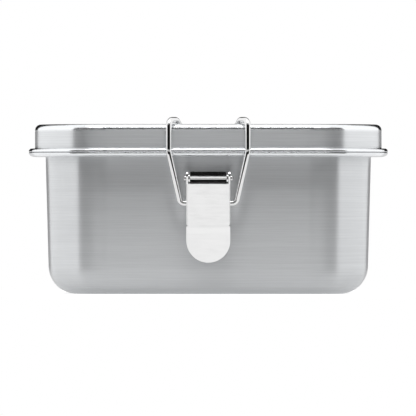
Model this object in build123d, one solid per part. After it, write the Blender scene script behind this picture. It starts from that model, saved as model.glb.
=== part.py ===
from build123d import *
import math
import os

# Stainless steel lunch box: a deep-drawn base, a pan lid with a silicone seal, and two wire latches.
# Millimetres. +Z is up, the front latch faces -Y, and the origin is the centre of the base's underside.
# Across any wall, "out" is measured outwards from the base wall's outer face at the rim.

# Overall size
RIM_LENGTH = 170.0
RIM_DEPTH = 126.0
RIM_OUT = 7.95
WALL_CORNER_RADIUS = 30.0
SHEET = 0.7

HALF_LENGTH = RIM_LENGTH / 2 - RIM_OUT
HALF_DEPTH = RIM_DEPTH / 2 - RIM_OUT

# Base
RIM_UNDERSIDE_Z = 65.0
WALL_DRAFT = 1.57
BOTTOM_RADIUS = 13.2
RIM_ROOT_RADIUS = 0.9
RIM_CURL_RADIUS = 1.4
BASE_LIP_Z = 66.95

# Lid
LID_LIP_Z = 67.05
LID_FLANGE_TOP_Z = 68.75
LID_CURL_RADIUS = 1.0
LID_WALL_OUT = 5.0
LID_ROOT_RADIUS = 0.6
LID_TOP_Z = 80.1
LID_EDGE_RADIUS = 2.4
RIDGE_INNER_OUT = 1.2
RIDGE_FOOT_OUT = -1.4
RIDGE_INNER_RADIUS = 1.2
PANEL_TOP_Z = 76.8

# The flat middle of the base's floor and of the lid's panel starts this far in
PANEL_EDGE_OUT = -18.0

# Seal
SEAL_OUTER_OUT = 6.2
SEAL_INNER_OUT = 3.2
SEAL_BOTTOM_Z = 65.95
SEAL_CORNER_RADIUS = 0.4

# Latch: lever pin and bail pivot
PIN_OUT = 6.9
PIN_Z = 54.6
PIN_RADIUS = 0.65
PIN_HEAD_RADIUS = 1.3
PIN_HEAD_THICKNESS = 1.4
PIN_DOME_RADIUS = 1.0
PIVOT_OUT = 4.6
PIVOT_Z = 42.8
RUNNING_CLEARANCE = 0.05
PIN_SEAT_CLEARANCE = 0.02
BORE_LENGTH = 40.0

# Latch: bracket
BRACKET_SHEET = 0.8
BRACKET_HALF_WIDTH = 9.45
BRACKET_TOP_Z = 57.8
BRACKET_BOTTOM_Z = 38.0
BRACKET_CORNER_RADIUS = 1.5
EAR_ROOT_TOP_Z = 57.3
EAR_ROOT_BOTTOM_Z = 47.5
EAR_END_RADIUS = 2.1
EAR_CROWN_OUT = 5.6
EAR_CROWN_Z = 54.9
EAR_CROWN_RADIUS = 2.4
WELD_GAP = 0.01

# Latch: lever
LEVER_HALF_WIDTH = 10.35
LEVER_SHEET = 0.8
LEVER_TOP_Z = 51.9
LEVER_BOTTOM_Z = 14.9
LEVER_FACE_OUT = 9.1
LEVER_BEND_Z = 30.0
LEVER_TIP_OUT = 10.3
LEVER_BEND_RADIUS = 30.0
FLANGE_END_Z = 32.7
FLANGE_BOSS_RADIUS = 2.6
FLANGE_CROWN_OUT = 5.6
FLANGE_CROWN_Z = 55.2
FLANGE_CROWN_RADIUS = 3.1
FOLD_RADIUS = 0.45
NOTCH_WIDTH = 0.5
NOTCH_HEIGHT = 0.7

# Latch: wire bail, a closed loop at the top with two ends turned in through the lever's flanges
WIRE_RADIUS = 1.4
BAIL_END_X = 7.6
BAIL_FOOT_X = 13.2
BAIL_FOOT_RADIUS = 2.4
BAIL_SHOULDER_X = 18.6
BAIL_SHOULDER_OUT = 9.85
BAIL_SHOULDER_Z = 67.2
BAIL_SHOULDER_RADIUS = 5.0
BAIL_CROWN_OUT = 6.9
BAIL_CROWN_Z = 82.0
BAIL_CROWN_RADIUS = 3.8
BAIL_DROP_X = 15.0
BAIL_DROP_OUT = 0.6
BAIL_DROP_RADIUS = 3.0
BAIL_BAR_X = 13.2
BAIL_BAR_OUT = -3.6
BAIL_BAR_Z = 78.5
BAIL_BAR_RADIUS = 2.4


def wall_out(z):
    """How far out the base wall's outer face is at height z."""
    return -(RIM_UNDERSIDE_Z - z) * math.tan(math.radians(WALL_DRAFT))


def sheet_section(points, radii):
    """A folded sheet seen end-on: a centreline of (out, z) points, given thickness."""
    line = FilletPolyline(*points, radius=radii)
    return Plane.XZ * trace(line, line_width=SHEET)


def ring(section):
    """Carry a section, drawn in out and z, round the box: straight sides with quarter-round corners."""
    side_x = HALF_LENGTH - WALL_CORNER_RADIUS
    side_y = HALF_DEPTH - WALL_CORNER_RADIUS
    end_side = extrude(Pos(HALF_LENGTH, 0, 0) * section, amount=side_y, dir=(0, 1, 0))
    corner = revolve(Pos(WALL_CORNER_RADIUS, 0, 0) * section, axis=Axis.Z, revolution_arc=90)
    long_side = extrude(Pos(HALF_DEPTH, 0, 0) * section, amount=side_x, dir=(0, -1, 0))
    quarter = end_side + Pos(side_x, side_y, 0) * corner + Rot(0, 0, 90) * long_side
    half = quarter + mirror(quarter, about=Plane.YZ)
    return half + mirror(half, about=Plane.XZ)


def middle_panel(top_z):
    """The flat sheet inside a ring, joined to it at PANEL_EDGE_OUT."""
    outline = RectangleRounded(
        2 * (HALF_LENGTH + PANEL_EDGE_OUT),
        2 * (HALF_DEPTH + PANEL_EDGE_OUT),
        WALL_CORNER_RADIUS + PANEL_EDGE_OUT,
    )
    return extrude(Pos(0, 0, top_z - SHEET) * outline, amount=SHEET)


def base():
    half = SHEET / 2
    flange_z = RIM_UNDERSIDE_Z + half
    points = [
        (PANEL_EDGE_OUT, half),
        (wall_out(half) - half, half),
        (-half, flange_z),
        (RIM_OUT - half, flange_z),
        (RIM_OUT - half, BASE_LIP_Z),
    ]
    radii = [BOTTOM_RADIUS - half, RIM_ROOT_RADIUS, RIM_CURL_RADIUS]
    return ring(sheet_section(points, radii)) + middle_panel(SHEET)


def lid():
    half = SHEET / 2
    flange_z = LID_FLANGE_TOP_Z - half
    ridge_z = LID_TOP_Z - half
    panel_z = PANEL_TOP_Z - half
    points = [
        (RIM_OUT - half, LID_LIP_Z),
        (RIM_OUT - half, flange_z),
        (LID_WALL_OUT - half, flange_z),
        (LID_WALL_OUT - half, ridge_z),
        (RIDGE_INNER_OUT, ridge_z),
        (RIDGE_FOOT_OUT, panel_z),
        (PANEL_EDGE_OUT, panel_z),
    ]
    radii = [LID_CURL_RADIUS, LID_ROOT_RADIUS, LID_EDGE_RADIUS, RIDGE_INNER_RADIUS, RIDGE_INNER_RADIUS]
    return ring(sheet_section(points, radii)) + middle_panel(PANEL_TOP_Z)


def lid_gasket():
    top_z = LID_FLANGE_TOP_Z - SHEET
    width = SEAL_OUTER_OUT - SEAL_INNER_OUT
    height = top_z - SEAL_BOTTOM_Z
    centre = ((SEAL_OUTER_OUT + SEAL_INNER_OUT) / 2, (top_z + SEAL_BOTTOM_Z) / 2)
    section = Plane.XZ * (Pos(*centre) * RectangleRounded(width, height, SEAL_CORNER_RADIUS))
    return ring(section)


def front(out, z, x=0.0):
    """A point on the front latch, from its x, its distance out and its height."""
    return Vector(x, -(HALF_DEPTH + out), z)


def side_plate(outline, x_from, x_to):
    """A flat piece seen from the side: an outline in (out, z), as thick as x_from to x_to."""
    plane = Plane(origin=(x_from, -HALF_DEPTH, 0), x_dir=(0, -1, 0), z_dir=(-1, 0, 0))
    return extrude(plane * outline, amount=x_to - x_from, dir=(1, 0, 0))


def rod(centre, radius, length):
    """A cylinder along X."""
    return Pos(*centre) * Rot(0, 90, 0) * Cylinder(radius, length)


def cross_bore(out, z, radius):
    """The space of a hole right across the latch, along X."""
    return rod(front(out, z), radius, BORE_LENGTH)


def bracket():
    """A channel welded to the wall, whose two ears carry the pin."""
    top = wall_out(BRACKET_TOP_Z) + WELD_GAP
    bottom = wall_out(BRACKET_BOTTOM_Z) + WELD_GAP
    back = make_face(
        Polyline(
            (top, BRACKET_TOP_Z),
            (top + BRACKET_SHEET, BRACKET_TOP_Z),
            (bottom + BRACKET_SHEET, BRACKET_BOTTOM_Z),
            (bottom, BRACKET_BOTTOM_Z),
            close=True,
        )
    )
    plate = side_plate(back, -BRACKET_HALF_WIDTH, BRACKET_HALF_WIDTH)
    root_top = wall_out(EAR_ROOT_TOP_Z) + BRACKET_SHEET / 2
    root_bottom = wall_out(EAR_ROOT_BOTTOM_Z) + BRACKET_SHEET / 2
    root = Polyline((root_top, EAR_ROOT_TOP_Z), (root_bottom, EAR_ROOT_BOTTOM_Z))
    end = Pos(PIN_OUT, PIN_Z) * Circle(EAR_END_RADIUS)
    crown = Pos(EAR_CROWN_OUT, EAR_CROWN_Z) * Circle(EAR_CROWN_RADIUS)
    ear = make_hull(root.edges() + end.edges() + crown.edges())
    inner = BRACKET_HALF_WIDTH - BRACKET_SHEET
    body = plate + side_plate(ear, inner, BRACKET_HALF_WIDTH)
    body += side_plate(ear, -BRACKET_HALF_WIDTH, -inner)
    corners = body.edges().filter_by(Axis.Y, tolerance=2 * WALL_DRAFT)
    low = corners.group_by(Axis.Z)[0]
    body = fillet(low, BRACKET_CORNER_RADIUS)
    return body - cross_bore(PIN_OUT, PIN_Z, PIN_RADIUS + PIN_SEAT_CLEARANCE)


def hinge_pin():
    """A riveted pin with a domed head at each end."""
    start = LEVER_HALF_WIDTH + 2 * RUNNING_CLEARANCE
    middle = start + PIN_HEAD_THICKNESS / 2
    shank = rod(front(PIN_OUT, PIN_Z), PIN_RADIUS, 2 * middle)
    head = rod(front(PIN_OUT, PIN_Z, middle), PIN_HEAD_RADIUS, PIN_HEAD_THICKNESS)
    head = fillet(head.edges().group_by(Axis.X)[-1], PIN_DOME_RADIUS)
    return shank + head + mirror(head, about=Plane.YZ)


def lever_plate():
    """The thumb plate: straight above, gently bent outwards below, with a half-round tip."""
    centre_out = LEVER_FACE_OUT - LEVER_SHEET / 2
    line = FilletPolyline(
        (centre_out, LEVER_TOP_Z),
        (centre_out, LEVER_BEND_Z),
        (LEVER_TIP_OUT, LEVER_BOTTOM_Z - LEVER_SHEET),
        radius=LEVER_BEND_RADIUS,
    )
    strip = side_plate(trace(line, line_width=LEVER_SHEET), -LEVER_HALF_WIDTH, LEVER_HALF_WIDTH)
    tip_z = LEVER_BOTTOM_Z + LEVER_HALF_WIDTH
    height = LEVER_TOP_Z - tip_z
    outline = Pos(0, tip_z + height / 2) * Rectangle(2 * LEVER_HALF_WIDTH, height)
    outline += Pos(0, tip_z) * Circle(LEVER_HALF_WIDTH)
    notch_z = FLANGE_END_Z - NOTCH_HEIGHT / 2
    for sign in (-1, 1):
        notch_x = sign * (LEVER_HALF_WIDTH - NOTCH_WIDTH / 2)
        outline -= Pos(notch_x, notch_z) * Rectangle(NOTCH_WIDTH, NOTCH_HEIGHT)
    reach = 2 * LEVER_TIP_OUT
    prism = extrude(Plane.XZ * outline, amount=HALF_DEPTH + reach, dir=(0, -1, 0))
    return strip & prism


def folded_edges(body):
    """The lever's two long outer edges, where the flanges are folded back from the plate."""
    upright = body.edges().filter_by(Axis.Z).filter_by(lambda edge: edge.center().Z > FLANGE_END_Z)
    return upright.group_by(Axis.Y)[0]


def lever():
    """A pressed channel: the thumb plate with two flanges that hold the pin and the bail's ends."""
    fold_out = LEVER_FACE_OUT - LEVER_SHEET / 2
    fold = Polyline((fold_out, LEVER_TOP_Z), (fold_out, FLANGE_END_Z))
    crown = Pos(FLANGE_CROWN_OUT, FLANGE_CROWN_Z) * Circle(FLANGE_CROWN_RADIUS)
    boss = Pos(PIVOT_OUT, PIVOT_Z) * Circle(FLANGE_BOSS_RADIUS)
    flange = make_hull(fold.edges() + crown.edges() + boss.edges())
    inner = LEVER_HALF_WIDTH - LEVER_SHEET
    body = lever_plate()
    body += side_plate(flange, inner, LEVER_HALF_WIDTH)
    body += side_plate(flange, -LEVER_HALF_WIDTH, -inner)
    body = fillet(folded_edges(body), FOLD_RADIUS)
    body -= cross_bore(PIN_OUT, PIN_Z, PIN_RADIUS + RUNNING_CLEARANCE)
    body -= cross_bore(PIVOT_OUT, PIVOT_Z, WIRE_RADIUS + RUNNING_CLEARANCE)
    return body


def bail():
    """One length of spring wire that hooks over the lid's ridge, with its two ends in the lever's flanges."""
    half = [
        front(PIVOT_OUT, PIVOT_Z, BAIL_END_X),
        front(PIVOT_OUT, PIVOT_Z, BAIL_FOOT_X),
        front(BAIL_SHOULDER_OUT, BAIL_SHOULDER_Z, BAIL_SHOULDER_X),
        front(BAIL_CROWN_OUT, BAIL_CROWN_Z, BAIL_SHOULDER_X),
        front(BAIL_DROP_OUT, BAIL_CROWN_Z, BAIL_DROP_X),
        front(BAIL_BAR_OUT, BAIL_BAR_Z, BAIL_BAR_X),
    ]
    bends = [
        BAIL_FOOT_RADIUS,
        BAIL_SHOULDER_RADIUS,
        BAIL_CROWN_RADIUS,
        BAIL_DROP_RADIUS,
        BAIL_BAR_RADIUS,
    ]
    other = [Vector(-p.X, p.Y, p.Z) for p in reversed(half)]
    path = FilletPolyline(*half, *other, radius=bends + bends[::-1])
    section = Plane(origin=path @ 0, z_dir=path % 0) * Circle(WIRE_RADIUS)
    return sweep(section, path=path)


def main():
    os.makedirs("parts", exist_ok=True)
    nodes = {"base": base(), "lid": lid(), "lid_gasket": lid_gasket()}
    latch = {"bracket": bracket(), "hinge_pin": hinge_pin(), "lever": lever(), "bail": bail()}
    for name, piece in latch.items():
        nodes["front_" + name] = piece
        nodes["rear_" + name] = mirror(piece, about=Plane.XZ)
    for name, piece in nodes.items():
        export_step(piece, f"parts/{name}.step")


main()
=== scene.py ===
import math
import bmesh
import bpy
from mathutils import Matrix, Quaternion, Vector


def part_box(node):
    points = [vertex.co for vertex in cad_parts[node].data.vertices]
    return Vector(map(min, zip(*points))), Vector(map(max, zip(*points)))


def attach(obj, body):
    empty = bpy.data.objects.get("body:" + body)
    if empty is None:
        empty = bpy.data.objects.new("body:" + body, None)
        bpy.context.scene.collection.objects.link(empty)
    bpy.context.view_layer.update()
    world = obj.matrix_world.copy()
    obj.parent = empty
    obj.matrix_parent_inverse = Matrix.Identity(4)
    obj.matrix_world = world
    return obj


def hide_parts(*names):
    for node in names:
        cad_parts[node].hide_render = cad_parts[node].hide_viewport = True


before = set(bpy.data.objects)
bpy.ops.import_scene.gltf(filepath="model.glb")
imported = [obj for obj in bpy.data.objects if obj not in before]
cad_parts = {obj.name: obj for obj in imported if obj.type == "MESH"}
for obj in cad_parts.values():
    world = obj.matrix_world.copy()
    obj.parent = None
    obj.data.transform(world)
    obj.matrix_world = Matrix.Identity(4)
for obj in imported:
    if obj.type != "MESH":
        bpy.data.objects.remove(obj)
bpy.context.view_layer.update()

MM = 0.001

# How finely the meshes are divided
ARC_STEP = math.radians(7.5)
CORNER_STEPS = 28
FREE_EDGE_STEPS = 8
SEAL_CORNER_STEPS = 6
TUBE_SIDES = 32
TUBE_END_STEPS = 5
TUBE_TIP = 0.02

# Bends tighter than TIGHT_BEND are burnished: glossier, and lighter in colour as a painted sheen. The burnish
# fades over BURNISH_REACH of the flat beside them.
BURNISH_REACH = 0.9 * MM
TIGHT_BEND = 5.0 * MM
LEVEL = 0.999
BRUSH_UV = "brush"
BURNISH = "burnish"

# Sheet metal and the box's plan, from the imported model
SHEET = 0.7 * MM
base_low, base_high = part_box("base")
lid_low, lid_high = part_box("lid")
seal_low, seal_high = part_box("lid_gasket")
RIM_OUT = 7.95 * MM
RIM_UNDERSIDE_Z = 65.0 * MM
WALL_CORNER_RADIUS = 30.0 * MM
WALL_DRAFT = math.radians(1.57)
BOTTOM_RADIUS = 13.2 * MM
BASE_ROOT_RADIUS = 0.9 * MM
BASE_CURL_RADIUS = 1.4 * MM
PANEL_EDGE_OUT = -18.0 * MM
HALF_LENGTH = base_high.x - RIM_OUT
HALF_DEPTH = base_high.y - RIM_OUT

# Lid
PANEL_TOP_Z = 76.8 * MM
LID_FLANGE_TOP_Z = 68.75 * MM
LID_WALL_OUT = 5.0 * MM
RIDGE_FOOT_OUT = -1.4 * MM
RIDGE_INNER_OUT = 1.2 * MM
RIDGE_INNER_RADIUS = 1.2 * MM
LID_EDGE_RADIUS = 2.4 * MM
LID_ROOT_RADIUS = 0.6 * MM
LID_CURL_RADIUS = 1.0 * MM

# Seal
SEAL_WIDTH = 3.0 * MM
SEAL_CORNER_RADIUS = 0.45 * MM

# Half a bail in millimetres, from its end in the lever: corners as (x, out, z), then the bends' radii
BAIL_POINTS = (
    (7.6, 4.6, 42.8),
    (13.2, 4.6, 42.8),
    (18.6, 9.85, 67.2),
    (18.6, 6.9, 82.0),
    (15.0, 0.6, 82.0),
    (13.2, -3.6, 78.5),
)
BAIL_RADII = (2.4, 5.0, 3.8, 3.0, 2.4)
WIRE_RADIUS = 1.4

# Small rounded edges of the pressed parts
LEVER_EDGE = 0.18 * MM
BRACKET_EDGE = 0.12 * MM
PIN_EDGE = 0.08 * MM
EDGE_SEGMENTS = 3
SHARPEST_FLAT = math.radians(40)
SAME_PLANE = math.radians(0.1)
SAME_POINT = 1e-6
FLAT_WEIGHT = 90


# Geometry helpers

def rounded_path(points, radii):
    """Points along a polyline whose corners are arcs: a list of (place, direction)."""
    path = [(points[0], (points[1] - points[0]).normalized())]
    for before, corner, after, radius in zip(points, points[1:], points[2:], radii):
        into = (corner - before).normalized()
        out = (after - corner).normalized()
        turn = into.angle(out)
        reach = radius * math.tan(turn / 2)
        axis = into.cross(out).normalized()
        side = axis.cross(into)
        centre = corner - into * reach + side * radius
        steps = max(2, math.ceil(turn / ARC_STEP))
        for i in range(steps + 1):
            spin = Quaternion(axis, turn * i / steps)
            path.append((centre - (spin @ side) * radius, spin @ into))
    path.append((points[-1], (points[-1] - points[-2]).normalized()))
    return path


def new_piece(name, verts, faces, normals, material, body, replaced, uvs=()):
    """A smooth mesh with its own normals, riding on a body and standing for a CAD node."""
    mesh = bpy.data.meshes.new(name)
    mesh.from_pydata(verts, [], faces)
    if uvs:
        layer = mesh.uv_layers.new(name=BRUSH_UV)
        for loop, uv in zip(layer.data, (uv for face in uvs for uv in face)):
            loop.uv = uv
    mesh.polygons.foreach_set("use_smooth", [True] * len(mesh.polygons))
    mesh.normals_split_custom_set_from_vertices(normals)
    mesh.materials.append(material)
    piece = bpy.data.objects.new(name, mesh)
    bpy.context.scene.collection.objects.link(piece)
    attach(piece, body)
    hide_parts(replaced)
    return piece


def plan_stations():
    """Stations round the box at the base wall's outer face: (x, y, outward x, outward y, distance)."""
    centre_x = HALF_LENGTH - WALL_CORNER_RADIUS
    centre_y = HALF_DEPTH - WALL_CORNER_RADIUS
    stations = []
    travelled = 0.0
    last = None
    for quadrant, (sx, sy) in enumerate(((1, 1), (-1, 1), (-1, -1), (1, -1))):
        for i in range(CORNER_STEPS + 1):
            angle = math.radians(90 * (quadrant + i / CORNER_STEPS))
            nx, ny = math.cos(angle), math.sin(angle)
            place = Vector((sx * centre_x + nx * WALL_CORNER_RADIUS, sy * centre_y + ny * WALL_CORNER_RADIUS))
            if last is not None:
                travelled += (place - last).length
            last = place
            stations.append((place.x, place.y, nx, ny, travelled))
    return stations, travelled + (Vector(stations[0][:2]) - last).length


def bend_marks(path):
    """1 along each tight bend to the left, -1 to the right, 0 on flats, and half of that at a bend's ends."""
    marks = [0.0] * len(path)
    for i in range(len(path) - 1):
        span = (path[i + 1][0] - path[i][0]).length
        here, ahead = path[i][1], path[i + 1][1]
        if span < here.angle(ahead) * TIGHT_BEND:
            side = 0.5 if here.x * ahead.z > here.z * ahead.x else -0.5
            marks[i] += side
            marks[i + 1] += side
    return marks


def with_flats(path):
    """Each point of a path with its bend mark, and flat points added beside every bend."""
    marks = bend_marks(path)
    marked = []
    for i in range(len(path) - 1):
        place, heading = path[i]
        next_place, next_heading = path[i + 1]
        marked.append((place, heading, marks[i]))
        if (next_place - place).length > 3 * BURNISH_REACH:
            marked.append((place + heading * BURNISH_REACH, heading, 0.0))
            marked.append((next_place - next_heading * BURNISH_REACH, next_heading, 0.0))
    marked.append((*path[-1], marks[-1]))
    return marked


def sheet_outline(points, radii):
    """A folded sheet seen end-on, down one face and back up the other round its free edge.

    Each point is (out, z, normal out, normal z, burnish). Only the outer face of a bend is burnished.
    """
    centre = with_flats(rounded_path([Vector((out, 0, z)) for out, z in points], radii))
    half = SHEET / 2
    first = [(p.x + t.z * half, p.z - t.x * half, t.z, -t.x, max(0.0, b)) for p, t, b in centre]
    second = [(p.x - t.z * half, p.z + t.x * half, -t.z, t.x, max(0.0, -b)) for p, t, b in reversed(centre)]
    end, heading, _ = centre[-1]
    edge = []
    for i in range(1, FREE_EDGE_STEPS):
        angle = math.pi * i / FREE_EDGE_STEPS
        nx = heading.z * math.cos(angle) + heading.x * math.sin(angle)
        nz = -heading.x * math.cos(angle) + heading.z * math.sin(angle)
        edge.append((end.x + nx * half, end.z + nz * half, nx, nz, 1.0))
    return first + edge + second


def swept_shell(name, outline, material, body, replaced, closed=False):
    """Carry an outline round the box. An open outline's two ends are closed by flat panels."""
    stations, total = plan_stations()
    count = len(outline)
    lengths = [0.0]
    for a, b in zip(outline, outline[1:] + outline[:1]):
        lengths.append(lengths[-1] + math.hypot(b[0] - a[0], b[1] - a[1]))
    verts, normals, burnish = [], [], []
    for x, y, nx, ny, _ in stations:
        for out, z, n_out, n_z, bend in outline:
            verts.append((x + nx * out, y + ny * out, z))
            normals.append((nx * n_out, ny * n_out, n_z))
            burnish.append(bend)
    faces, uvs = [], []
    level = [out < 0 and abs(n_z) > LEVEL for out, _, _, n_z, _ in outline]
    spans = count if closed else count - 1
    for i, station in enumerate(stations):
        j = (i + 1) % len(stations)
        here = station[4]
        there = stations[j][4] if j else total
        for k in range(spans):
            m = (k + 1) % count
            face = (i * count + k, j * count + k, j * count + m, i * count + m)
            faces.append(face)
            low, high = lengths[k], lengths[k + 1]
            if level[k] and level[m]:
                uvs.append([(verts[v][1], verts[v][0]) for v in face])
            else:
                uvs.append(((low, here), (low, there), (high, there), (high, here)))
    if not closed:
        first = [i * count for i in range(len(stations))][::-1]
        last = [i * count + count - 1 for i in range(len(stations))]
        for loop in (first, last):
            faces.append(loop)
            uvs.append([(verts[v][1], verts[v][0]) for v in loop])
    piece = new_piece(name, verts, faces, normals, material, body, replaced, uvs)
    piece.data.attributes.new(BURNISH, "FLOAT", "POINT").data.foreach_set("value", burnish)
    return piece


def tube(name, path, radius, material, body, replaced):
    """A round wire along a path, with its two ends rounded off."""
    verts, normals, faces = [], [], []
    start, heading = path[0]
    across = heading.orthogonal().normalized()
    last_heading = heading
    rings = []
    for i in range(TUBE_END_STEPS):
        lift = math.pi / 2 * (1 - i / TUBE_END_STEPS)
        place = start + heading * radius * (1 - math.sin(lift))
        rings.append((place, heading, radius * math.cos(lift), -math.sin(lift)))
    for place, direction in path[1:-1]:
        rings.append((place, direction, radius, 0.0))
    end, heading_out = path[-1]
    for i in range(1, TUBE_END_STEPS + 1):
        lift = math.pi / 2 * i / TUBE_END_STEPS
        place = end - heading_out * radius * (1 - math.sin(lift))
        rings.append((place, heading_out, radius * math.cos(lift), math.sin(lift)))
    for place, direction, size, along in rings:
        across = (last_heading.rotation_difference(direction) @ across).normalized()
        last_heading = direction
        side = direction.cross(across)
        for k in range(TUBE_SIDES):
            angle = 2 * math.pi * k / TUBE_SIDES
            spoke = across * math.cos(angle) + side * math.sin(angle)
            verts.append(place + spoke * max(size, radius * TUBE_TIP))
            flat = math.sqrt(max(0.0, 1 - along * along))
            normals.append((spoke * flat + direction * along).normalized())
    for i in range(len(rings) - 1):
        for k in range(TUBE_SIDES):
            m = (k + 1) % TUBE_SIDES
            a, b = i * TUBE_SIDES, (i + 1) * TUBE_SIDES
            faces.append((a + k, a + m, b + m, b + k))
    faces.append(tuple(range(TUBE_SIDES))[::-1])
    faces.append(tuple((len(rings) - 1) * TUBE_SIDES + k for k in range(TUBE_SIDES)))
    return new_piece(name, verts, faces, normals, material, body, replaced)


# Materials

# Most noise lies between these two values
NOISE_LOW = 0.3
NOISE_HIGH = 0.7
NOISE_MIDDLE = 0.5
NO_STRETCH = (1.0, 1.0, 1.0)

# Streaks of the brushed steel: per metre across the brush, per metre along it, place in the noise, detail
FINE_STREAKS = (5200.0, 42.0, 0.0, 4.0)
MEDIUM_STREAKS = (1500.0, 9.0, 7.0, 3.0)
BROAD_STREAKS = (220.0, 3.5, 13.0, 2.0)
STREAK_ROUGHNESS = 0.6
FINE_SHARE, MEDIUM_SHARE = 0.6, 0.4
GRAIN_SHARE, BROAD_SHARE = 0.8, 0.2
STREAK_LOW, STREAK_HIGH = 0.34, 0.66
STREAK_DARK, STREAK_BRIGHT = 0.90, 1.07
BRUSHED_ROUGH = (0.34, 0.38)
BURNISHED_ROUGH = (0.155, 0.175)
SMEAR_ROUGH = (-0.015, 0.025)
SMEAR_LOW = 0.35
SMEAR_NOISE = (22.0, 3.0, 0.55)
# How much lighter the burnished bends are coloured: a painted sheen.
BURNISH_SHEEN_GAIN = 1.2
BRIGHTEST = 0.96
BEND_END = 0.5
GRAIN_RELIEF = 0.05
GRAIN_DEPTH = 0.00003
COOL = -0.018

# Polished steel: its marks as how many per metre, detail and roughness of the noise
FINGERMARKS = (160.0, 4.0, 0.6)
POLISHING_LINES = (900.0, 3.0, 0.6)
DENTS = (220.0, 1.0, 0.4)
ALONG_LEVER = (0.15, 1.0, 1.0)
LINE_ROUGH = (-0.01, 0.02)
MARK_DARK, MARK_BRIGHT = 0.99, 1.01
DENT_SHARE, LINE_SHARE = 0.85, 0.15
POLISHED_RELIEF = 0.012
POLISHED_DEPTH = 0.0001

# Silicone
BLOOM = (300.0, 4.0, 0.6)
BLOOM_DARK, BLOOM_PALE = 0.74, 0.84
BLOOM_WARMTH = 0.01
BLOOM_ROUGH = (0.42, 0.58)
BLOOM_RELIEF = 0.15
BLOOM_DEPTH = 0.00005
MILKINESS = 0.3
LIGHT_REACH = (0.002, 0.002, 0.0018)


class Nodes:
    """Short names for building a node tree."""

    def __init__(self, tree):
        self.tree = tree
        tree.nodes.clear()

    def add(self, kind, inputs=None, **settings):
        node = self.tree.nodes.new(kind)
        for key, value in settings.items():
            setattr(node, key, value)
        for key, value in (inputs or {}).items():
            if isinstance(value, bpy.types.NodeSocket):
                self.tree.links.new(value, node.inputs[key])
            else:
                node.inputs[key].default_value = value
        return node

    def math(self, operation, a, b=0.0, c=None):
        inputs = {0: a, 1: b}
        if c is not None:
            inputs[2] = c
        return self.add("ShaderNodeMath", inputs, operation=operation).outputs[0]

    def remap(self, value, low, high, to_low, to_high, smooth=False):
        kind = "SMOOTHSTEP" if smooth else "LINEAR"
        names = {"Value": value, "From Min": low, "From Max": high, "To Min": to_low, "To Max": to_high}
        return self.add("ShaderNodeMapRange", names, interpolation_type=kind).outputs["Result"]

    def noise(self, vector, scale, detail=3.0, roughness=0.5):
        names = {"Vector": vector, "Scale": scale, "Detail": detail, "Roughness": roughness}
        return self.add("ShaderNodeTexNoise", names).outputs["Fac"]


def grey(value, warmth=0.0):
    return (value * (1 + warmth), value, value * (1 - warmth), 1.0)


def brushed_steel(name, tone, seed):
    """Steel sheet with a straight grain: streaks along the brush, dull and bright, and faint handling smears.

    Its bends are burnished: glossier and without the grain, and lighter in colour as a painted sheen.
    """
    material = bpy.data.materials.new(name)
    material.use_nodes = True
    n = Nodes(material.node_tree)
    uv = n.add("ShaderNodeUVMap", uv_map=BRUSH_UV).outputs["UV"]
    parts = n.add("ShaderNodeSeparateXYZ", {0: uv}).outputs
    place = n.add("ShaderNodeTexCoord").outputs["Object"]

    def streaks(across, along, shift, detail):
        squeezed = n.math("MULTIPLY", parts[0], across)
        drawn_out = n.math("MULTIPLY", parts[1], along)
        vector = n.add("ShaderNodeCombineXYZ", {0: squeezed, 1: drawn_out, 2: seed + shift}).outputs[0]
        return n.noise(vector, 1.0, detail, STREAK_ROUGHNESS)

    fine = streaks(*FINE_STREAKS)
    medium = streaks(*MEDIUM_STREAKS)
    broad = streaks(*BROAD_STREAKS)
    smear = n.noise(place, *SMEAR_NOISE)
    burnish = n.add("ShaderNodeAttribute", attribute_name=BURNISH).outputs["Fac"]
    grain = n.math("ADD", n.math("MULTIPLY", fine, FINE_SHARE), n.math("MULTIPLY", medium, MEDIUM_SHARE))
    calm = n.remap(burnish, 0.0, BEND_END, 1.0, 0.0)
    grain = n.math("MULTIPLY_ADD", n.math("SUBTRACT", grain, NOISE_MIDDLE), calm, NOISE_MIDDLE)
    shade = n.math("ADD", n.math("MULTIPLY", grain, GRAIN_SHARE), n.math("MULTIPLY", broad, BROAD_SHARE))
    ramp = n.add("ShaderNodeValToRGB", {"Fac": shade})
    ramp.color_ramp.elements[0].position = STREAK_LOW
    ramp.color_ramp.elements[0].color = grey(tone * STREAK_DARK, COOL)
    ramp.color_ramp.elements[1].position = STREAK_HIGH
    ramp.color_ramp.elements[1].color = grey(tone * STREAK_BRIGHT, COOL)
    # Painted sheen: the burnished bends get a lighter colour than the brushed flats.
    bend_sheen = grey(min(BRIGHTEST, tone * BURNISH_SHEEN_GAIN), COOL)
    shades = {0: burnish, 6: ramp.outputs["Color"], 7: bend_sheen}
    colour = n.add("ShaderNodeMix", shades, data_type="RGBA").outputs[2]
    dull = n.remap(grain, NOISE_LOW, NOISE_HIGH, *BRUSHED_ROUGH)
    brushed = n.math("ADD", dull, n.remap(smear, SMEAR_LOW, NOISE_HIGH, *SMEAR_ROUGH))
    polished = n.remap(smear, SMEAR_LOW, NOISE_HIGH, *BURNISHED_ROUGH)
    rough = n.math("ADD", brushed, n.math("MULTIPLY", burnish, n.math("SUBTRACT", polished, brushed)))
    relief = n.remap(burnish, 0.0, BEND_END, GRAIN_RELIEF, 0.0)
    height = {"Strength": relief, "Distance": GRAIN_DEPTH, "Height": grain}
    bump = n.add("ShaderNodeBump", height).outputs["Normal"]
    tangent = n.add("ShaderNodeTangent", direction_type="UV_MAP", uv_map=BRUSH_UV).outputs["Tangent"]
    shader = n.add(
        "ShaderNodeBsdfPrincipled",
        {
            "Base Color": colour,
            "Metallic": 1.0,
            "Roughness": rough,
            "Anisotropic": 1.0,
            "Tangent": tangent,
            "Normal": bump,
        },
    ).outputs[0]
    n.add("ShaderNodeOutputMaterial", {"Surface": shader})
    return material


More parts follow.
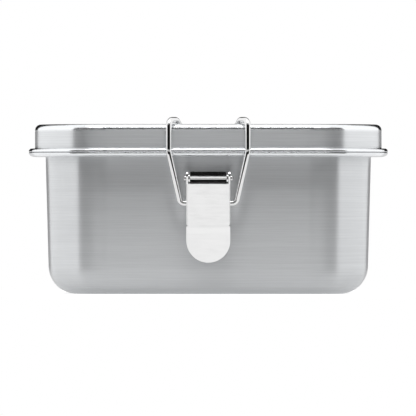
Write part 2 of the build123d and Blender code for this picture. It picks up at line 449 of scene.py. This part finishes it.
def polished_steel(name, tone, roughness, line_scale=NO_STRETCH):
    """Bright polished steel: polishing lines almost gone, small dents in the shine, and fingermarks."""
    material = bpy.data.materials.new(name)
    material.use_nodes = True
    n = Nodes(material.node_tree)
    place = n.add("ShaderNodeTexCoord").outputs["Object"]
    smear = n.noise(place, *FINGERMARKS)
    stretched = n.add("ShaderNodeMapping", {"Vector": place, "Scale": line_scale}).outputs["Vector"]
    lines = n.noise(stretched, *POLISHING_LINES)
    waves = n.noise(place, *DENTS)
    dulled = n.remap(smear, SMEAR_LOW, NOISE_HIGH, *roughness)
    rough = n.math("ADD", dulled, n.remap(lines, NOISE_LOW, NOISE_HIGH, *LINE_ROUGH))
    ramp = n.add("ShaderNodeValToRGB", {"Fac": smear})
    ramp.color_ramp.elements[0].color = grey(tone * MARK_DARK)
    ramp.color_ramp.elements[1].color = grey(tone * MARK_BRIGHT)
    height = n.math("ADD", n.math("MULTIPLY", waves, DENT_SHARE), n.math("MULTIPLY", lines, LINE_SHARE))
    relief = {"Strength": POLISHED_RELIEF, "Distance": POLISHED_DEPTH, "Height": height}
    bump = n.add("ShaderNodeBump", relief).outputs["Normal"]
    shader = n.add(
        "ShaderNodeBsdfPrincipled",
        {"Base Color": ramp.outputs["Color"], "Metallic": 1.0, "Roughness": rough, "Normal": bump},
    ).outputs[0]
    n.add("ShaderNodeOutputMaterial", {"Surface": shader})
    return material


def silicone(name):
    """Milky silicone rubber with a fine dull bloom."""
    material = bpy.data.materials.new(name)
    material.use_nodes = True
    n = Nodes(material.node_tree)
    place = n.add("ShaderNodeTexCoord").outputs["Object"]
    bloom = n.noise(place, *BLOOM)
    ramp = n.add("ShaderNodeValToRGB", {"Fac": bloom})
    ramp.color_ramp.elements[0].color = grey(BLOOM_DARK, BLOOM_WARMTH)
    ramp.color_ramp.elements[1].color = grey(BLOOM_PALE, BLOOM_WARMTH)
    rough = n.remap(bloom, NOISE_LOW, NOISE_HIGH, *BLOOM_ROUGH)
    relief = {"Strength": BLOOM_RELIEF, "Distance": BLOOM_DEPTH, "Height": bloom}
    bump = n.add("ShaderNodeBump", relief).outputs["Normal"]
    shader = n.add(
        "ShaderNodeBsdfPrincipled",
        {
            "Base Color": ramp.outputs["Color"],
            "Roughness": rough,
            "Normal": bump,
            "Subsurface Weight": MILKINESS,
            "Subsurface Radius": LIGHT_REACH,
        },
    ).outputs[0]
    n.add("ShaderNodeOutputMaterial", {"Surface": shader})
    return material


# The lid is the same steel as the base; its lighter tone is painted light that brightens the lid's walls.
STEEL_BASE = brushed_steel("steel_base", 0.74, 0.0)
LIGHTENED_LID_STEEL = brushed_steel("lid_steel_painted_light", 0.81, 31.0)
POLISHED_SHEET = polished_steel("polished_sheet", 0.94, (0.065, 0.085), ALONG_LEVER)
POLISHED_WIRE = polished_steel("polished_wire", 0.84, (0.04, 0.08))
# Painted shade: the bracket's steel is much darker than the lever's, standing in for the shade of the recess
# behind the lever.
SHADED_BRACKET_STEEL = polished_steel("bracket_steel_painted_shade", 0.62, (0.03, 0.06))
# Painted shade: the pin's steel is darker than the lever's, dimming its highlight where it sits in the shaded
# recess.
DIMMED_PIN_STEEL = polished_steel("pin_steel_painted_shade", 0.7, (0.03, 0.05))
SEAL = silicone("seal_silicone")


# The box

def wall_out(z):
    """How far out the base wall's outer face is at height z."""
    return -(RIM_UNDERSIDE_Z - z) * math.tan(WALL_DRAFT)


def base_shell():
    half = SHEET / 2
    flange_z = RIM_UNDERSIDE_Z + half
    points = [
        (PANEL_EDGE_OUT, half),
        (wall_out(half) - half, half),
        (-half, flange_z),
        (RIM_OUT - half, flange_z),
        (RIM_OUT - half, base_high.z - half),
    ]
    radii = [BOTTOM_RADIUS - half, BASE_ROOT_RADIUS, BASE_CURL_RADIUS]
    return swept_shell("base_shell", sheet_outline(points, radii), STEEL_BASE, "box", "base")


def lid_shell():
    half = SHEET / 2
    flange_z = LID_FLANGE_TOP_Z - half
    ridge_z = lid_high.z - half
    panel_z = PANEL_TOP_Z - half
    points = [
        (PANEL_EDGE_OUT, panel_z),
        (RIDGE_FOOT_OUT, panel_z),
        (RIDGE_INNER_OUT, ridge_z),
        (LID_WALL_OUT - half, ridge_z),
        (LID_WALL_OUT - half, flange_z),
        (RIM_OUT - half, flange_z),
        (RIM_OUT - half, lid_low.z + half),
    ]
    radii = [RIDGE_INNER_RADIUS, RIDGE_INNER_RADIUS, LID_EDGE_RADIUS, LID_ROOT_RADIUS, LID_CURL_RADIUS]
    return swept_shell("lid_shell", sheet_outline(points, radii), LIGHTENED_LID_STEEL, "lid", "lid")


def seal_ring():
    """The seal, a square ring with rounded edges."""
    outer = seal_high.x - HALF_LENGTH
    inner = outer - SEAL_WIDTH
    low, high = seal_low.z, seal_high.z
    corner = SEAL_CORNER_RADIUS
    corners = [(outer, low), (outer, high), (inner, high), (inner, low)]
    outline = []
    for index, (out, z) in enumerate(corners):
        centre_out = out + (-corner if out == outer else corner)
        centre_z = z + (corner if z == low else -corner)
        for i in range(SEAL_CORNER_STEPS + 1):
            angle = math.radians(-90 + 90 * index + 90 * i / SEAL_CORNER_STEPS)
            n_out, n_z = math.cos(angle), math.sin(angle)
            outline.append((centre_out + n_out * corner, centre_z + n_z * corner, n_out, n_z, 0.0))
    return swept_shell("seal_ring", outline, SEAL, "lid", "lid_gasket", closed=True)


# The latches

def bail_wire(side, sign):
    """The spring wire, from one turned-in end over the lid to the other. sign is -1 for the front latch."""
    half = [Vector((x * MM, sign * (HALF_DEPTH + out * MM), z * MM)) for x, out, z in BAIL_POINTS]
    other = [Vector((-p.x, p.y, p.z)) for p in reversed(half)]
    radii = [r * MM for r in BAIL_RADII + BAIL_RADII[::-1]]
    path = rounded_path(half + other, radii)
    node = side + "_bail"
    return tube(node + "_wire", path, WIRE_RADIUS * MM, POLISHED_WIRE, node, node)


def dress(node, material, width):
    """Give a CAD sheet part its material and the small rounded edges that pressing leaves."""
    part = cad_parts[node]
    part.data.materials.clear()
    part.data.materials.append(material)
    weld = part.modifiers.new("weld", "WELD")
    weld.merge_threshold = SAME_POINT
    flat = part.modifiers.new("flat", "DECIMATE")
    flat.decimate_type = "DISSOLVE"
    flat.angle_limit = SAME_PLANE
    bevel = part.modifiers.new("edges", "BEVEL")
    bevel.width = width
    bevel.segments = EDGE_SEGMENTS
    bevel.limit_method = "ANGLE"
    bevel.angle_limit = SHARPEST_FLAT
    shade = part.modifiers.new("shade", "WEIGHTED_NORMAL")
    shade.weight = FLAT_WEIGHT


base_shell()
lid_shell()
seal_ring()
for side, sign in (("front", -1), ("rear", 1)):
    bail_wire(side, sign)
    dress(side + "_lever", POLISHED_SHEET, LEVER_EDGE)
    dress(side + "_bracket", SHADED_BRACKET_STEEL, BRACKET_EDGE)
    dress(side + "_hinge_pin", DIMMED_PIN_STEEL, PIN_EDGE)


# Studio

TABLE_REACH = 0.15
TABLE_SIDES = 96
TABLE_GAP = 0.02 * MM
TABLE_GLOW = 0.46
TABLE_GLOW_SEEN = 0.72
TABLE_DARK, TABLE_PALE = 0.44, 0.46
TABLE_ROUGHNESS = 0.8
MOTTLE = (6.0, 3.0)

# Soft boxes as (azimuth from the front, elevation, brightness), in degrees. Later ones cover earlier ones.
SOFT_BOXES = (
    ((12, 59), (38, 57), 0.8),
    ((59, 148), (-90, 90), 1.05),
    ((-9, 59), (60, 80), 4.7),
    ((148, 190), (-90, 0), 0.7),
    ((148, 190), (48, 78), 1.1),
    ((-9, 190), (78, 99), 1.5),
    ((-9, 59), (-1.3, 13), 0.5),
    ((-9, 4), (-1.3, 13), 0.92),
)
SOFT_EDGE = 0.4
DARK_STUDIO = 0.01

CAMERA_DISTANCE = 5.0
CAMERA_X = -0.14 * MM
CAMERA_Z = 40.6 * MM
CAMERA_SENSOR = 36.0
CAMERA_REACH = 50.0
FRAME_WIDTH = 195.86 * MM


def studio_floor():
    """A round pale light table, which the camera sees as plain white."""
    mesh = bpy.data.meshes.new("studio_floor")
    bm = bmesh.new()
    bmesh.ops.create_circle(bm, cap_ends=True, radius=HALF_DEPTH + TABLE_REACH, segments=TABLE_SIDES)
    bm.to_mesh(mesh)
    bm.free()
    material = bpy.data.materials.new("pale_floor")
    material.use_nodes = True
    n = Nodes(material.node_tree)
    place = n.add("ShaderNodeTexCoord").outputs["Object"]
    mottle = n.noise(place, *MOTTLE)
    ramp = n.add("ShaderNodeValToRGB", {"Fac": mottle})
    ramp.color_ramp.elements[0].color = grey(TABLE_DARK)
    ramp.color_ramp.elements[1].color = grey(TABLE_PALE)
    seen = n.add("ShaderNodeLightPath").outputs["Is Camera Ray"]
    shader = n.add(
        "ShaderNodeBsdfPrincipled",
        {
            "Base Color": ramp.outputs["Color"],
            "Roughness": TABLE_ROUGHNESS,
            "Emission Color": grey(1.0),
            "Emission Strength": n.remap(seen, 0.0, 1.0, TABLE_GLOW, TABLE_GLOW_SEEN),
        },
    ).outputs[0]
    n.add("ShaderNodeOutputMaterial", {"Surface": shader})
    mesh.materials.append(material)
    floor = bpy.data.objects.new("studio_floor", mesh)
    floor.location.z = base_low.z - TABLE_GAP
    bpy.context.scene.collection.objects.link(floor)


def studio_world():
    """Soft boxes at both sides, overhead and beside the camera, before a plain white backdrop."""
    world = bpy.data.worlds.new("studio")
    bpy.context.scene.world = world
    world.use_nodes = True
    n = Nodes(world.node_tree)
    direction = n.add("ShaderNodeTexCoord").outputs["Generated"]
    x, y, z = n.add("ShaderNodeSeparateXYZ", {0: direction}).outputs
    elevation = n.math("DEGREES", n.math("ARCSINE", z))
    azimuth = n.math("DEGREES", n.math("ARCTAN2", n.math("ABSOLUTE", x), n.math("MULTIPLY", y, -1.0)))

    def within(angle, low, high):
        rise = n.remap(angle, low - SOFT_EDGE, low + SOFT_EDGE, 0.0, 1.0, smooth=True)
        fall = n.remap(angle, high - SOFT_EDGE, high + SOFT_EDGE, 1.0, 0.0, smooth=True)
        return n.math("MULTIPLY", rise, fall)

    light = DARK_STUDIO
    for across, up, brightness in SOFT_BOXES:
        mask = n.math("MULTIPLY", within(azimuth, *across), within(elevation, *up))
        change = n.math("MULTIPLY", mask, n.math("SUBTRACT", brightness, light))
        light = n.math("ADD", change, light)
    lit = n.add("ShaderNodeBackground", {"Color": grey(1.0), "Strength": light}).outputs[0]
    plain = n.add("ShaderNodeBackground", {"Color": grey(1.0), "Strength": 1.0}).outputs[0]
    seen = n.add("ShaderNodeLightPath").outputs["Is Camera Ray"]
    both = n.add("ShaderNodeMixShader", {0: seen, 1: lit, 2: plain}).outputs[0]
    n.add("ShaderNodeOutputWorld", {"Surface": both})


def studio_camera():
    """A level camera with a very long lens, square to the front."""
    data = bpy.data.cameras.new("camera")
    data.sensor_width = CAMERA_SENSOR
    data.lens = CAMERA_SENSOR * CAMERA_DISTANCE / FRAME_WIDTH
    camera = bpy.data.objects.new("camera", data)
    camera.location = (CAMERA_X, -CAMERA_DISTANCE - HALF_DEPTH, CAMERA_Z)
    camera.rotation_euler = (math.pi / 2, 0.0, 0.0)
    data.clip_end = CAMERA_REACH
    bpy.context.scene.collection.objects.link(camera)
    bpy.context.scene.camera = camera


studio_floor()
studio_world()
studio_camera()
bpy.context.scene.view_settings.view_transform = "Standard"
